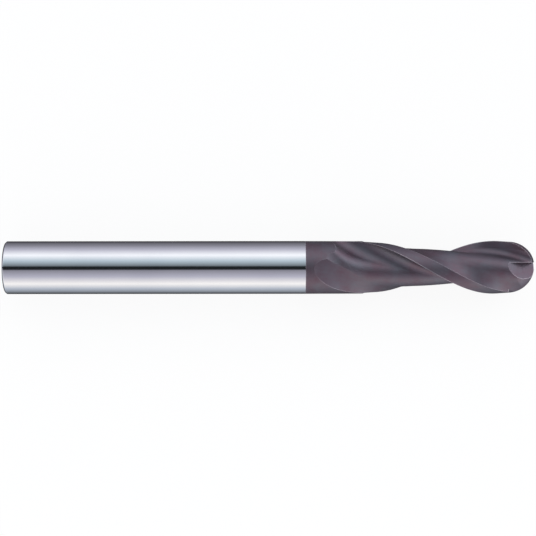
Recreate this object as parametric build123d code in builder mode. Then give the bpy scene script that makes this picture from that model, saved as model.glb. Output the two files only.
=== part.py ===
"""Two-flute ball-nose end mill: a ground carbide shank, a fluted carbide core and its hard coating.

The tool lies along +X with the ball at the +X end, and +Z is up.  The origin is the centre of the
shank's rear face.  Sizes are in millimetres and angles in degrees.
"""
from build123d import *
import math
import os

os.makedirs("parts", exist_ok=True)

# Overall sizes
cutting_diameter = 10.0
shank_diameter = 10.0
overall_length = 100.0
coated_length = 43.3
coating_thickness = 0.05
rear_chamfer = 0.3

# Cutting edges and the relieved lands behind them
helix_angle = 30.0
edge_up_from_tip = 21.4     # tip to where one cutting edge points straight up
cutting_length = 32.5       # tip to where the lands begin
land_relief = 0.6           # centre of each land's arc to the tool axis
land_runout = 2.0           # length of the slope down to the lands
neck_relief = 0.03          # taper of the neck, from the coating's edge to the lands
ball_land_width = 25.0      # angle from the cutting edge to the clearance, at the ball's equator
ball_clearance = 2.4        # centre of that spherical clearance to the tool axis

# Flute section, square to the tool axis
rake_angle = 8.0
edge_setback = 0.06         # rake face to the peak of the land behind it
web_radius = 2.55           # arc that wraps the web between the two flutes
web_shift_along = 0.35      # its centre, along the line through both cutting edges
web_shift_across = 0.95     # and square to that line
hook_radius = 1.5           # blend between the rake face and the web
hook_runout_radius = 2.8    # the same blend behind the cutting length
hook_even_from_tip = 20.0   # tip to where the blend starts to grow
back_angle = 80.0           # direction that the straight back of the flute faces
flute_lift_angle = 143.0    # direction in which the wheel leaves the flute
flute_lift_radius = 10.0    # curve of the wheel's path as it lifts
flute_full_from_tip = 31.4  # tip to where the flute reaches its full depth

# Clearance ground along the back of each tooth, down to its heel
clearance_angle = 68.5
clearance_distance = 3.62
clearance_lift_radius = 25.0
clearance_full_from_tip = 33.4
clearance_twist_share = 0.54    # part of the helix that this wheel still follows as it lifts

# Gash that carries each cutting edge to the middle of the ball
gash_slope = 32.0           # bottom of the gash to the tool axis
gash_opening = 72.0         # wall to floor
gash_wall_offset = 0.9      # wall to the tool axis
gash_behind_edge = 71.0     # direction that the gash is cut from, behind its cutting edge
pole_flat = 0.08            # ground off the pole of the ball by the two gashes

station_gap = 2.0           # spacing of the sections along a helical surface

edge_radius = cutting_diameter / 2
shank_radius = shank_diameter / 2
lead = math.pi * cutting_diameter / math.tan(math.radians(helix_angle))
coating_edge = overall_length - coated_length
ball_centre = overall_length + pole_flat - edge_radius
tooth_turns = (0, 180)


def polar(distance, angle):
    """Flat vector of the given length and direction."""
    return Vector(distance * math.cos(math.radians(angle)), distance * math.sin(math.radians(angle)))


def outward(turn):
    """Unit vector square to the tool axis, turned from +Z towards +Y."""
    return Vector(0, math.sin(math.radians(turn)), math.cos(math.radians(turn)))


def section_plane(x, turn):
    """Plane square to the tool axis whose own X axis has the given turn."""
    return Plane(origin=(x, 0, 0), x_dir=outward(turn), z_dir=(-1, 0, 0))


def edge_turn(x):
    """Turn of the first cutting edge at x."""
    return 360 * (overall_length - edge_up_from_tip - x) / lead


def wheel_lift(x, full_depth, lift_radius):
    """Height of the wheel above its full depth."""
    return max(full_depth - x, 0) ** 2 / (2 * lift_radius)


def stations(start, end):
    """Evenly spaced places from start to end."""
    count = math.ceil((end - start) / station_gap)
    return [start + (end - start) * step / count for step in range(count + 1)]


def relieved_blank(skin):
    """Rod and ball before fluting, with a land that falls away behind each cutting edge."""
    land_radius = math.hypot(edge_radius, land_relief) - skin
    neck_radius = shank_radius - skin
    land_start = overall_length - cutting_length
    land_full = land_start + land_runout
    with BuildPart() as blank:
        for x in stations(land_start, ball_centre):
            with BuildSketch(section_plane(x, edge_turn(x))):
                with Locations((0, -land_relief)):
                    Circle(land_radius)
                with Locations((0, land_relief)):
                    Circle(land_radius, mode=Mode.INTERSECT)
        loft()
        with BuildSketch(Plane.XZ):
            with BuildLine():
                Polyline(
                    (coating_edge, 0),
                    (coating_edge, neck_radius),
                    (land_start, neck_radius - neck_relief),
                    (land_full, neck_radius - neck_relief - land_relief),
                    (land_full, 0),
                    close=True,
                )
            make_face()
        revolve(axis=Axis.X)
    centre = section_plane(ball_centre, edge_turn(ball_centre))
    heel = polar(math.hypot(edge_radius, land_relief), ball_land_width) - Vector(0, land_relief)
    clearance_radius = (heel + Vector(0, ball_clearance)).length - skin
    with BuildPart() as ball:
        with Locations(centre.from_local_coords((0, -land_relief, 0))):
            Sphere(land_radius)
        with Locations(centre.from_local_coords((0, land_relief, 0))):
            Sphere(land_radius, mode=Mode.INTERSECT)
        with Locations(centre.from_local_coords((0, -ball_clearance, 0))):
            Sphere(clearance_radius, mode=Mode.INTERSECT)
        with Locations(centre.from_local_coords((0, ball_clearance, 0))):
            Sphere(clearance_radius, mode=Mode.INTERSECT)
        split(bisect_by=Plane.YZ.offset(ball_centre), keep=Keep.TOP)
    with BuildPart() as whole:
        add(blank.part)
        add(ball.part)
    return whole.part


def flute_void(tooth_turn, skin):
    """Helical space between the back of one tooth and the rake face of the next."""
    full_depth = overall_length - flute_full_from_tip
    runout = math.sqrt(2 * flute_lift_radius * edge_radius)
    hook_even = overall_length - hook_even_from_tip
    hook_change = cutting_length - hook_even_from_tip
    inward = polar(1, -rake_angle)
    web_centre = Vector(web_shift_along, web_shift_across)
    web = web_radius - skin
    rake_foot = Vector(-edge_radius, 0) + polar(edge_setback + skin, -90 - rake_angle)
    rake_outer = rake_foot - inward * 0.3 * edge_radius
    along = (web_centre - rake_foot).dot(inward)
    apart = (rake_foot + inward * along - web_centre).length
    rake_inner = rake_foot + inward * (along - math.sqrt(web**2 - apart**2))
    web_middle = web_centre + polar(web, (180 + back_angle) / 2)
    back_inner = web_centre + polar(web, back_angle)
    back_outer = back_inner + polar(1.1 * edge_radius, back_angle - 90)
    clear = 1.3 * edge_radius
    with BuildPart() as void:
        for x in stations(full_depth - runout, overall_length + 1):
            lift = polar(wheel_lift(x, full_depth, flute_lift_radius), flute_lift_angle)
            grown = min(max((hook_even - x) / hook_change, 0), 1)
            blend = hook_radius + grown * (hook_runout_radius - hook_radius)
            with BuildSketch(section_plane(x, tooth_turn + edge_turn(x))) as section:
                with BuildLine():
                    Line(rake_outer + lift, rake_inner + lift)
                    ThreePointArc(rake_inner + lift, web_middle + lift, back_inner + lift)
                    Polyline(
                        back_inner + lift,
                        back_outer + lift,
                        Vector(back_outer.X, clear) + lift,
                        Vector(-clear, clear) + lift,
                        rake_outer + lift,
                    )
                make_face()
                hook = section.vertices().sort_by_distance(rake_inner + lift)[0]
                fillet(hook, blend + skin)
        loft()
    return void.part


def clearance_void(tooth_turn, skin):
    """Helical flat that takes the back of a tooth down to its heel."""
    full_depth = overall_length - clearance_full_from_tip
    depth = edge_radius - clearance_distance
    runout = math.sqrt(2 * clearance_lift_radius * depth) + station_gap
    height = 0.8 * edge_radius
    with BuildPart() as void:
        for x in stations(full_depth - runout, overall_length + 1):
            followed = max(x, full_depth + clearance_twist_share * (x - full_depth))
            turn = tooth_turn + edge_turn(followed) + clearance_angle
            floor = clearance_distance - skin + wheel_lift(x, full_depth, clearance_lift_radius)
            with BuildSketch(section_plane(x, turn)):
                with Locations((floor + height / 2, 0)):
                    Rectangle(height, 2.3 * edge_radius)
        loft()
    return void.part


def gash_void(tooth_turn, skin):
    """V-shaped notch whose floor runs down from the flute to the pole of the ball."""
    slope = math.radians(gash_slope)
    opening = math.radians(gash_opening)
    turn = tooth_turn + 180 + edge_turn(ball_centre) - gash_behind_edge
    side = outward(turn + 90)
    bottom_x = overall_length - gash_wall_offset / (math.tan(opening) * math.sin(slope))
    bottom = Plane(
        origin=Vector(bottom_x, 0, 0) + side * gash_wall_offset,
        x_dir=-side,
        z_dir=Vector(-math.cos(slope), 0, 0) + outward(turn) * math.sin(slope),
    )
    apex = Vector(-skin, -skin * (1 + math.cos(opening)) / math.sin(opening))
    reach = 1.5 * cutting_diameter
    with BuildPart() as void:
        with BuildSketch(bottom):
            with BuildLine():
                Polyline(
                    apex,
                    apex + polar(reach, 90 - gash_opening),
                    apex + polar(reach, 90),
                    close=True,
                )
            make_face()
        extrude(amount=reach, both=True)
    return void.part


def ground_head(skin):
    """Finished fluted head with the given thickness left off its outside."""
    with BuildPart() as head:
        add(relieved_blank(skin))
        for tooth_turn in tooth_turns:
            add(flute_void(tooth_turn, skin), mode=Mode.SUBTRACT)
            add(clearance_void(tooth_turn, skin), mode=Mode.SUBTRACT)
            add(gash_void(tooth_turn, skin), mode=Mode.SUBTRACT)
    return head.part


# Shank: the plain ground rod that a holder grips, from the rear face to the coating's edge
with BuildPart() as shank:
    with BuildSketch(Plane.YZ):
        Circle(shank_radius)
    extrude(amount=coating_edge)
    chamfer(shank.edges().group_by(Axis.X)[0], rear_chamfer)
shank.part.label = "shank"
export_step(shank.part, "parts/shank.step")

# Fluted core: the carbide under the coating, smaller than the finished head by the coating's thickness
with BuildPart() as fluted_core:
    add(ground_head(coating_thickness))
fluted_core.part.label = "fluted_core"
export_step(fluted_core.part, "parts/fluted_core.step")

# Hard coating: the skin that covers the core from the neck to the pole of the ball
with BuildPart() as hard_coating:
    add(ground_head(0))
    add(fluted_core.part, mode=Mode.SUBTRACT)
hard_coating.part.label = "hard_coating"
export_step(hard_coating.part, "parts/hard_coating.step")
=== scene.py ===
import math
import bpy
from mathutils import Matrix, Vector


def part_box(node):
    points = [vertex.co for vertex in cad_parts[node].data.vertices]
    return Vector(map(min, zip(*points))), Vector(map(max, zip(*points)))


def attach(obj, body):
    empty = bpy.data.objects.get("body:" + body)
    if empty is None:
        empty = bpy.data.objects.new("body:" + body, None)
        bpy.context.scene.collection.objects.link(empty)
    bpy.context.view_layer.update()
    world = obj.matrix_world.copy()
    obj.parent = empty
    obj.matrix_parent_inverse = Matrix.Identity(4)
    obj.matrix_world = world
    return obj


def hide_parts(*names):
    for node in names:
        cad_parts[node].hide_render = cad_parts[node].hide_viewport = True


# Two-flute ball nose end mill on a backlit white table, seen from straight above.

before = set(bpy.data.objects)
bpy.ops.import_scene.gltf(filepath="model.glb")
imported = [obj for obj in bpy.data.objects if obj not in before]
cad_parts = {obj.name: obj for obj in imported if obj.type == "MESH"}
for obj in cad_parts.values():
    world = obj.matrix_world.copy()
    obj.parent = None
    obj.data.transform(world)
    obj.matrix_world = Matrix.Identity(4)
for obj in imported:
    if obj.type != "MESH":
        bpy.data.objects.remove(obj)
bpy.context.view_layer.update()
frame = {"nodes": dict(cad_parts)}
mm = 0.001
print("frame loaded:", ", ".join(frame["nodes"]))


def toLinear(hexColour):
    channels = [int(hexColour[start:start + 2], 16) / 255 for start in (1, 3, 5)]
    return [c / 12.92 if c <= 0.04045 else ((c + 0.055) / 1.055) ** 2.4 for c in channels] + [1.0]


def addNode(tree, kind, settings=None, inputs=None, links=None):
    node = tree.nodes.new(kind)
    for name, value in (settings or {}).items():
        setattr(node, name, value)
    for name, value in (inputs or {}).items():
        node.inputs[name].default_value = value
    for name, socket in (links or {}).items():
        tree.links.new(socket, node.inputs[name])
    return node


def startMaterial(name):
    material = bpy.data.materials.new(name)
    material.use_nodes = True
    material.node_tree.nodes.clear()
    return material, material.node_tree


def startGeometryTree(name, sizes):
    tree = bpy.data.node_groups.new(name, "GeometryNodeTree")
    tree.interface.new_socket(name="Geometry", in_out="INPUT", socket_type="NodeSocketGeometry")
    for label, value in sizes.items():
        kind = "NodeSocketInt" if isinstance(value, int) else "NodeSocketFloat"
        tree.interface.new_socket(name=label, in_out="INPUT", socket_type=kind)
    tree.interface.new_socket(name="Geometry", in_out="OUTPUT", socket_type="NodeSocketGeometry")
    return tree, addNode(tree, "NodeGroupInput").outputs


# edges that bend less than the crisp angle are smoothed, and the others stay sharp
def finishGeometryTree(tree, geometry, crispAngle, material):
    bend = addNode(tree, "GeometryNodeInputMeshEdgeAngle")
    gentle = addNode(tree, "FunctionNodeCompare", {"data_type": "FLOAT", "operation": "LESS_THAN"},
                     links={"A": bend.outputs[0], "B": crispAngle})
    smoothed = addNode(tree, "GeometryNodeSetShadeSmooth", {"domain": "EDGE"},
                       links={"Geometry": geometry, "Shade Smooth": gentle.outputs[0]})
    solid = addNode(tree, "GeometryNodeRealizeInstances", links={"Geometry": smoothed.outputs[0]})
    painted = addNode(tree, "GeometryNodeSetMaterial", inputs={"Material": material},
                      links={"Geometry": solid.outputs[0]})
    addNode(tree, "NodeGroupOutput", links={"Geometry": painted.outputs[0]})


# a tree is run once on a seed mesh, and only the plain mesh that it grows is kept
def growPiece(name, seedMesh, tree, sizes):
    grower = bpy.data.objects.new(name + "Grower", seedMesh)
    bpy.context.scene.collection.objects.link(grower)
    modifier = grower.modifiers.new("grow", "NODES")
    modifier.node_group = tree
    for item in tree.interface.items_tree:
        if item.in_out == "INPUT" and item.name in sizes:
            modifier[item.identifier] = sizes[item.name]
    even = grower.modifiers.new("even", "WEIGHTED_NORMAL")
    even.keep_sharp = True
    grown = bpy.data.meshes.new_from_object(grower.evaluated_get(bpy.context.evaluated_depsgraph_get()))
    bpy.data.objects.remove(grower)
    piece = bpy.data.objects.new(name, grown)
    bpy.context.scene.collection.objects.link(piece)
    print(name, "grown:", len(grown.vertices), "points,", len(grown.polygons), "faces")
    return piece


# camera: long lens straight above the middle of the tool
shot = {
    "distance": 288 * mm, "lens": 102.1, "sensor": 36, "clipStart": 10 * mm,
    "middle": 49.66 * mm, "rise": -0.1 * mm, "roll": -0.0009,
}
cameraData = bpy.data.cameras.new("camera")
cameraData.lens = shot["lens"]
cameraData.sensor_width = shot["sensor"]
cameraData.clip_start = shot["clipStart"]
camera = bpy.data.objects.new("camera", cameraData)
camera.location = (shot["middle"], shot["rise"], shot["distance"])
camera.rotation_euler = (0, 0, shot["roll"])
bpy.context.scene.collection.objects.link(camera)
bpy.context.scene.camera = camera
bpy.context.scene.view_settings.view_transform = "Standard"
print("camera placed")

# table: opal white acrylic lit from below, so the tool throws hardly any shade on it;
# it is clear from below, so that the underside of the tool can be looked at
table = {
    "size": 6.0, "middle": 50 * mm,
    "glow": 0.92, "glowTint": "#fdfdfd", "catch": "#5e5e5e",
    "cloudScale": 3.0, "cloudDetail": 1.0, "dullest": 0.985,    # the glow is slightly uneven
}
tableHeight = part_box("shank")[0][2]
bpy.ops.mesh.primitive_plane_add(size=table["size"], location=(table["middle"], 0, tableHeight))
tableTop = bpy.context.object
tableTop.name = "tableTop"
opalAcrylic, tree = startMaterial("opalAcrylic")
place = addNode(tree, "ShaderNodeTexCoord")
cloud = addNode(tree, "ShaderNodeTexNoise",
                inputs={"Scale": table["cloudScale"], "Detail": table["cloudDetail"]},
                links={"Vector": place.outputs["Object"]})
soft = addNode(tree, "ShaderNodeMapRange", inputs={"To Min": table["dullest"], "To Max": 1.0},
               links={"Value": cloud.outputs[0]})
strength = addNode(tree, "ShaderNodeMath", {"operation": "MULTIPLY"}, inputs={1: table["glow"]},
                   links={0: soft.outputs[0]})
glow = addNode(tree, "ShaderNodeEmission", inputs={"Color": toLinear(table["glowTint"])},
               links={"Strength": strength.outputs[0]})
matt = addNode(tree, "ShaderNodeBsdfDiffuse", inputs={"Color": toLinear(table["catch"])})
both = addNode(tree, "ShaderNodeAddShader", links={0: glow.outputs[0], 1: matt.outputs[0]})
shape = addNode(tree, "ShaderNodeNewGeometry")
clear = addNode(tree, "ShaderNodeBsdfTransparent")
sheet = addNode(tree, "ShaderNodeMixShader",
                links={0: shape.outputs["Backfacing"], 1: both.outputs[0], 2: clear.outputs[0]})
addNode(tree, "ShaderNodeOutputMaterial", links={"Surface": sheet.outputs[0]})
tableTop.data.materials.append(opalAcrylic)
tableTop.visible_glossy = False     # the metal mirrors the studio all round, and the table is left out of it
tableTop.visible_diffuse = False
print("table laid")

# studio: two long soft panels overhead with a narrow dark gap between them; a stop is the angle from
# straight up towards +Y, in round figures, with the brightness and the tint there
studio = {
    "peak": 1.7,
    "frontGain": 2.0,       # the panels run on past the tip and are brighter there
    "frontStart": 0.25,     # how far a direction leans towards +X where that gain begins
    "frontEnd": 0.9,        # and where it is complete
    "backdrop": "#fdfdfd",
    "tints": {
        "warm": "#fffaf3", "white": "#ffffff", "cool": "#e6edf6", "lilac": "#ebe8f5", "teal": "#dcecf3",
    },
    "nearPanel": [
        (-150, 0.10, "cool"), (-105, 1.00, "cool"), (-75, 1.65, "warm"),
        (-40, 0.95, "lilac"), (-12, 0.50, "lilac"),
    ],
    "gap": [(-8, 0.03, "teal"), (4, 0.03, "teal")],
    "farPanel": [
        (7, 0.35, "teal"), (30, 1.15, "teal"), (55, 1.65, "white"),
        (85, 1.00, "lilac"), (110, 0.50, "lilac"), (155, 0.05, "lilac"),
    ],
}
world = bpy.data.worlds.new("studio")
bpy.context.scene.world = world
world.use_nodes = True
tree = world.node_tree
tree.nodes.clear()
place = addNode(tree, "ShaderNodeTexCoord")
split = addNode(tree, "ShaderNodeSeparateXYZ", links={0: place.outputs["Generated"]})
angle = addNode(tree, "ShaderNodeMath", {"operation": "ARCTAN2"},
                links={0: split.outputs["Y"], 1: split.outputs["Z"]})
turn = addNode(tree, "ShaderNodeMapRange", inputs={"From Min": -math.pi, "From Max": math.pi},
               links={"Value": angle.outputs[0]})
ramp = addNode(tree, "ShaderNodeValToRGB", links={"Fac": turn.outputs[0]})
elements = ramp.color_ramp.elements
while len(elements) > 1:
    elements.remove(elements[0])
stops = studio["nearPanel"] + studio["gap"] + studio["farPanel"]
for number, (degrees, brightness, tint) in enumerate(stops):
    position = (degrees + 180) / 360
    stop = elements.new(position) if number else elements[0]
    stop.position = position
    share = brightness / studio["peak"]
    stop.color = [channel * share for channel in toLinear(studio["tints"][tint])[:3]] + [1]
front = addNode(tree, "ShaderNodeMapRange", {"interpolation_type": "SMOOTHSTEP"},
                inputs={"From Min": studio["frontStart"], "From Max": studio["frontEnd"],
                        "To Min": studio["peak"], "To Max": studio["peak"] * studio["frontGain"]},
                links={"Value": split.outputs["X"]})
panels = addNode(tree, "ShaderNodeBackground",
                 links={"Color": ramp.outputs[0], "Strength": front.outputs[0]})
backdrop = addNode(tree, "ShaderNodeBackground",
                   inputs={"Color": toLinear(studio["backdrop"]), "Strength": 1.0})
path = addNode(tree, "ShaderNodeLightPath")
sky = addNode(tree, "ShaderNodeMixShader",
              links={0: path.outputs["Is Camera Ray"], 1: panels.outputs[0], 2: backdrop.outputs[0]})
addNode(tree, "ShaderNodeOutputWorld", links={"Surface": sky.outputs[0]})
print("studio lit")

# Centreless-ground tungsten carbide: bright grey metal that mirrors the studio, with hair-fine rings
# round it.  Such rings are about 0.01 mm apart; they are drawn 0.12 mm apart so that they show.
ground = {
    "colour": "#cbcdd2", "worn": "#bfc1c8", "wornScale": 120.0,
    "smoothest": 0.06, "roughest": 0.0975,
    "ringGap": 0.12 * mm, "ringLength": 25 * mm, "ringDepth": 0.0016 * mm, "ringStrength": 0.25,
}
groundCarbide, tree = startMaterial("groundCarbide")
place = addNode(tree, "ShaderNodeTexCoord")
ringScale = (1 / ground["ringGap"], 1 / ground["ringLength"], 1 / ground["ringLength"])
across = addNode(tree, "ShaderNodeMapping", inputs={"Scale": ringScale},
                 links={"Vector": place.outputs["Object"]})
rings = addNode(tree, "ShaderNodeTexNoise", inputs={"Scale": 1.0, "Detail": 2.0},
                links={"Vector": across.outputs[0]})
wide = addNode(tree, "ShaderNodeTexNoise", inputs={"Scale": ground["wornScale"], "Detail": 3.0},
               links={"Vector": place.outputs["Object"]})
gloss = addNode(tree, "ShaderNodeMapRange",
                inputs={"To Min": ground["smoothest"], "To Max": ground["roughest"]},
                links={"Value": rings.outputs[0]})
shade = addNode(tree, "ShaderNodeMix", {"data_type": "RGBA"},
                inputs={6: toLinear(ground["colour"]), 7: toLinear(ground["worn"])},
                links={0: wide.outputs[0]})
relief = addNode(tree, "ShaderNodeBump",
                 inputs={"Strength": ground["ringStrength"], "Distance": ground["ringDepth"]},
                 links={"Height": rings.outputs[0]})
metal = addNode(tree, "ShaderNodeBsdfPrincipled", inputs={"Metallic": 1.0},
                links={"Base Color": shade.outputs[2], "Roughness": gloss.outputs[0],
                       "Normal": relief.outputs[0]})
addNode(tree, "ShaderNodeOutputMaterial", links={"Surface": metal.outputs[0]})

# Carbide as ground before coating: the same metal, greyer and duller, with a coarser cut.  The cut
# is about 0.05 mm wide and is drawn 0.5 mm wide.
bare = {"colour": "#8f9196", "dark": "#7c7e84", "roughness": 0.36, "grain": 0.5 * mm}
carbideCore, tree = startMaterial("carbideCore")
place = addNode(tree, "ShaderNodeTexCoord")
grain = addNode(tree, "ShaderNodeTexNoise", inputs={"Scale": 1 / bare["grain"], "Detail": 3.0},
                links={"Vector": place.outputs["Object"]})
shade = addNode(tree, "ShaderNodeMix", {"data_type": "RGBA"},
                inputs={6: toLinear(bare["colour"]), 7: toLinear(bare["dark"])},
                links={0: grain.outputs[0]})
metal = addNode(tree, "ShaderNodeBsdfPrincipled", inputs={"Metallic": 1.0, "Roughness": bare["roughness"]},
                links={"Base Color": shade.outputs[2]})
addNode(tree, "ShaderNodeOutputMaterial", links={"Surface": metal.outputs[0]})

# Vapour-deposited nitride coating: satin violet-grey over the grinding lines, with a pale painted highlight
# along the sharp edges.  Such lines are about 0.02 mm wide; they are drawn 0.16 mm wide so that they show.
coat = {
    "red": "#5f4954", "blue": "#62636c", "edge": "#c9c2ca", "metal": 0.8,
    "roughness": 0.46, "roughnessSpread": 0.06, "fineLines": 0.3, "coarseLines": 0.7,
    "lineGap": 0.16 * mm, "lineLength": 6 * mm, "neckLineScale": 90,
    "lineDepth": 0.006 * mm, "lineStrength": 0.35,
    "patch": 4.0 * mm, "patchRoughness": 0.6, "lineShare": 0.35, "redBelow": 0.40, "blueAbove": 0.95,
    # the edge colour and the strengths below paint a highlight along the sharp edges
    "edgeWidth": 0.16 * mm, "edgeSamples": 6, "highlightStrength": 0.65, "highlightStart": 0.985, "highlightFull": 0.90,
}
hardCoating, tree = startMaterial("hardCoating")
unwound = addNode(tree, "ShaderNodeAttribute", {"attribute_name": "unwound"})
place = addNode(tree, "ShaderNodeTexCoord")
fluteScale = (1 / coat["lineLength"], 1 / coat["lineGap"], 1 / coat["lineGap"])
alongFlute = addNode(tree, "ShaderNodeMapping", inputs={"Scale": fluteScale},
                     links={"Vector": unwound.outputs["Vector"]})
fluteLines = addNode(tree, "ShaderNodeTexNoise", inputs={"Scale": 1.0, "Detail": 2.0},
                     links={"Vector": alongFlute.outputs[0]})
neckScale = (1 / coat["lineGap"], coat["neckLineScale"], coat["neckLineScale"])
aroundNeck = addNode(tree, "ShaderNodeMapping", inputs={"Scale": neckScale},
                     links={"Vector": place.outputs["Object"]})
neckLines = addNode(tree, "ShaderNodeTexNoise", inputs={"Scale": 1.0, "Detail": 2.0},
                    links={"Vector": aroundNeck.outputs[0]})
onNeck = addNode(tree, "ShaderNodeAttribute", {"attribute_name": "onNeck"})
lines = addNode(tree, "ShaderNodeMix", {"data_type": "FLOAT"},
                links={0: onNeck.outputs["Fac"], 2: fluteLines.outputs[0], 3: neckLines.outputs[0]})
patches = addNode(tree, "ShaderNodeTexNoise",
                  inputs={"Scale": 1 / coat["patch"], "Detail": 3.0, "Roughness": coat["patchRoughness"]},
                  links={"Vector": place.outputs["Object"]})
mottle = addNode(tree, "ShaderNodeMath", {"operation": "MULTIPLY_ADD"}, inputs={1: coat["lineShare"]},
                 links={0: lines.outputs[0], 2: patches.outputs[0]})
hue = addNode(tree, "ShaderNodeMapRange",
              inputs={"From Min": coat["redBelow"], "From Max": coat["blueAbove"]},
              links={"Value": mottle.outputs[0]})
body = addNode(tree, "ShaderNodeMix", {"data_type": "RGBA"},
               inputs={6: toLinear(coat["red"]), 7: toLinear(coat["blue"])}, links={0: hue.outputs[0]})
# an edge is where the rounded normal leans away from the true one; there the colour is painted paler, as a
# painted highlight
rounded = addNode(tree, "ShaderNodeBevel", {"samples": coat["edgeSamples"]},
                  inputs={"Radius": coat["edgeWidth"]})
shape = addNode(tree, "ShaderNodeNewGeometry")
match = addNode(tree, "ShaderNodeVectorMath", {"operation": "DOT_PRODUCT"},
                links={0: rounded.outputs[0], 1: shape.outputs["Normal"]})
paintedEdgeHighlight = addNode(tree, "ShaderNodeMapRange",
                inputs={"From Min": coat["highlightStart"], "From Max": coat["highlightFull"],
                        "To Min": 0.0, "To Max": coat["highlightStrength"]},
                links={"Value": match.outputs["Value"]})
# painted highlight: the edges take the pale edge colour in place of the light that they would catch
skin = addNode(tree, "ShaderNodeMix", {"data_type": "RGBA"}, inputs={7: toLinear(coat["edge"])},
               links={0: paintedEdgeHighlight.outputs[0], 6: body.outputs[2]})
satin = addNode(tree, "ShaderNodeMapRange",
                inputs={"From Min": coat["fineLines"], "From Max": coat["coarseLines"],
                        "To Min": coat["roughness"] - coat["roughnessSpread"],
                        "To Max": coat["roughness"] + coat["roughnessSpread"]},
                links={"Value": lines.outputs[0]})
relief = addNode(tree, "ShaderNodeBump",
                 inputs={"Strength": coat["lineStrength"], "Distance": coat["lineDepth"]},
                 links={"Height": lines.outputs[0]})
metal = addNode(tree, "ShaderNodeBsdfPrincipled", inputs={"Metallic": coat["metal"]},
                links={"Base Color": skin.outputs[2], "Roughness": satin.outputs[0],
                       "Normal": relief.outputs[0]})
addNode(tree, "ShaderNodeOutputMaterial", links={"Surface": metal.outputs[0]})
print("finishes mixed")

# shank: a ground rod turned from its outline, with a chamfered rear end and broken corners
low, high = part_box("shank")
rod = {
    "Radius": (high[2] - low[2]) / 2,
    "Length": high[0] - low[0],
    "Chamfer": 0.3 * mm,
    "Edge break": 0.05 * mm,
    "Crisp angle": math.radians(40),
    "Sides": 192,
}
tree, size = startGeometryTree("groundRod", rod)
slant = addNode(tree, "ShaderNodeMath", {"operation": "MULTIPLY"}, inputs={1: math.sqrt(0.5)},
                links={0: size["Edge break"]})
chamferEnd = addNode(tree, "ShaderNodeMath", {"operation": "SUBTRACT"},
                     links={0: size["Chamfer"], 1: slant.outputs[0]})
wallStart = addNode(tree, "ShaderNodeMath", {"operation": "ADD"},
                    links={0: size["Chamfer"], 1: size["Edge break"]})
faceRadius = addNode(tree, "ShaderNodeMath", {"operation": "SUBTRACT"},
                     links={0: size["Radius"], 1: wallStart.outputs[0]})
chamferRadius = addNode(tree, "ShaderNodeMath", {"operation": "SUBTRACT"},
                        links={0: size["Radius"], 1: chamferEnd.outputs[0]})
cornerRadius = addNode(tree, "ShaderNodeMath", {"operation": "SUBTRACT"},
                       links={0: size["Radius"], 1: slant.outputs[0]})
# the outline's points from the rear face, at 0, forwards: where each lies along the axis and how far out
order = addNode(tree, "GeometryNodeInputIndex")
station = addNode(tree, "GeometryNodeIndexSwitch", {"data_type": "FLOAT"})
width = addNode(tree, "GeometryNodeIndexSwitch", {"data_type": "FLOAT"})
stations = [None, slant.outputs[0], chamferEnd.outputs[0], wallStart.outputs[0], size["Length"]]
widths = [faceRadius.outputs[0], chamferRadius.outputs[0], cornerRadius.outputs[0],
          size["Radius"], size["Radius"]]
for chooser, choices in ((station, stations), (width, widths)):
    while len(chooser.index_switch_items) < len(choices):
        chooser.index_switch_items.new()
    tree.links.new(order.outputs[0], chooser.inputs["Index"])
    for number, choice in enumerate(choices):
        if choice is not None:
            tree.links.new(choice, chooser.inputs[number + 1])
spine = addNode(tree, "GeometryNodeMeshLine", inputs={"Count": len(stations)})
spot = addNode(tree, "ShaderNodeCombineXYZ", links={"X": station.outputs[0]})
placed = addNode(tree, "GeometryNodeSetPosition",
                 links={"Geometry": spine.outputs[0], "Position": spot.outputs[0]})
wire = addNode(tree, "GeometryNodeMeshToCurve", links={"Mesh": placed.outputs[0]})
ring = addNode(tree, "GeometryNodeCurvePrimitiveCircle", inputs={"Radius": 1.0},
               links={"Resolution": size["Sides"]})
wall = addNode(tree, "GeometryNodeCurveToMesh", inputs={"Fill Caps": True},
               links={"Curve": wire.outputs[0], "Profile Curve": ring.outputs[0],
                      "Scale": width.outputs[0]})
finishGeometryTree(tree, wall.outputs[0], size["Crisp angle"], groundCarbide)
shankRod = growPiece("shank_rod", bpy.data.meshes.new("rodSeed"), tree, rod)
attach(shankRod, "root")
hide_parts("shank")

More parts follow.
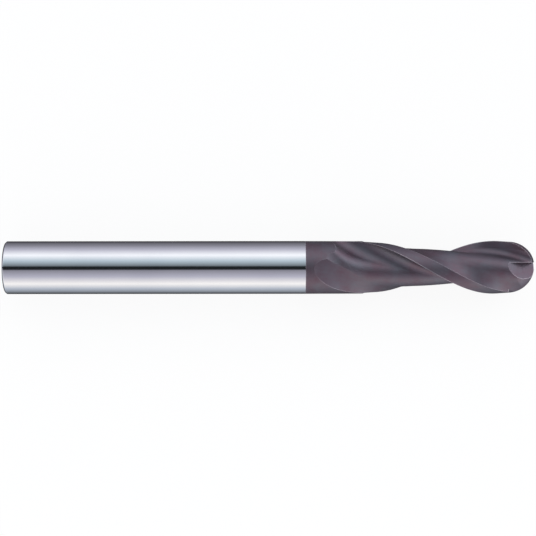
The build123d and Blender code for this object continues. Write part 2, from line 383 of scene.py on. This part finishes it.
# coating: the fluted head's skin, merged, with its ground edges kept crisp and every point's place
# unwound from the helix, so that the grinding lines can follow the flutes
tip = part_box("hard_coating")[1][0]
helix = {"diameter": 10 * mm, "angle": math.radians(30)}
head = {
    "Merge": 0.0005 * mm,
    "Lead": math.pi * helix["diameter"] / math.tan(helix["angle"]),
    "Edge up": tip - 21.4 * mm,         # where one cutting edge points straight up
    "Crisp angle": math.radians(14),
    "Neck end": tip - 32.5 * mm,        # the neck is what lies behind this
    "Neck radius": 4.955 * mm,          # and farther out than this
}
tree, size = startGeometryTree("groundHead", head)
merged = addNode(tree, "GeometryNodeMergeByDistance",
                 links={"Geometry": size["Geometry"], "Distance": size["Merge"]})
point = addNode(tree, "GeometryNodeInputPosition")
parts = addNode(tree, "ShaderNodeSeparateXYZ", links={0: point.outputs[0]})
behind = addNode(tree, "ShaderNodeMath", {"operation": "SUBTRACT"},
                 links={0: size["Edge up"], 1: parts.outputs["X"]})
turns = addNode(tree, "ShaderNodeMath", {"operation": "DIVIDE"},
                links={0: behind.outputs[0], 1: size["Lead"]})
radians = addNode(tree, "ShaderNodeMath", {"operation": "MULTIPLY"}, inputs={1: 2 * math.pi},
                  links={0: turns.outputs[0]})
straight = addNode(tree, "ShaderNodeVectorRotate", {"rotation_type": "X_AXIS"},
                   links={"Vector": point.outputs[0], "Angle": radians.outputs[0]})
stored = addNode(tree, "GeometryNodeStoreNamedAttribute", {"data_type": "FLOAT_VECTOR", "domain": "POINT"},
                 inputs={"Name": "unwound"},
                 links={"Geometry": merged.outputs[0], "Value": straight.outputs[0]})
flat = addNode(tree, "ShaderNodeVectorMath", {"operation": "MULTIPLY"}, inputs={1: (0, 1, 1)},
               links={0: point.outputs[0]})
radius = addNode(tree, "ShaderNodeVectorMath", {"operation": "LENGTH"}, links={0: flat.outputs[0]})
outer = addNode(tree, "ShaderNodeMath", {"operation": "GREATER_THAN"},
                links={0: radius.outputs["Value"], 1: size["Neck radius"]})
rear = addNode(tree, "ShaderNodeMath", {"operation": "LESS_THAN"},
               links={0: parts.outputs["X"], 1: size["Neck end"]})
neck = addNode(tree, "ShaderNodeMath", {"operation": "MULTIPLY"},
               links={0: outer.outputs[0], 1: rear.outputs[0]})
marked = addNode(tree, "GeometryNodeStoreNamedAttribute", {"data_type": "FLOAT", "domain": "POINT"},
                 inputs={"Name": "onNeck"},
                 links={"Geometry": stored.outputs[0], "Value": neck.outputs[0]})
finishGeometryTree(tree, marked.outputs[0], size["Crisp angle"], hardCoating)
seed = frame["nodes"]["hard_coating"].data.copy()
seed.materials.clear()
coatedHead = growPiece("coated_head", seed, tree, head)
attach(coatedHead, "root")
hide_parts("hard_coating")

# core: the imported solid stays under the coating, in its own metal
frame["nodes"]["fluted_core"].material_slots[0].material = carbideCore
print("core painted")
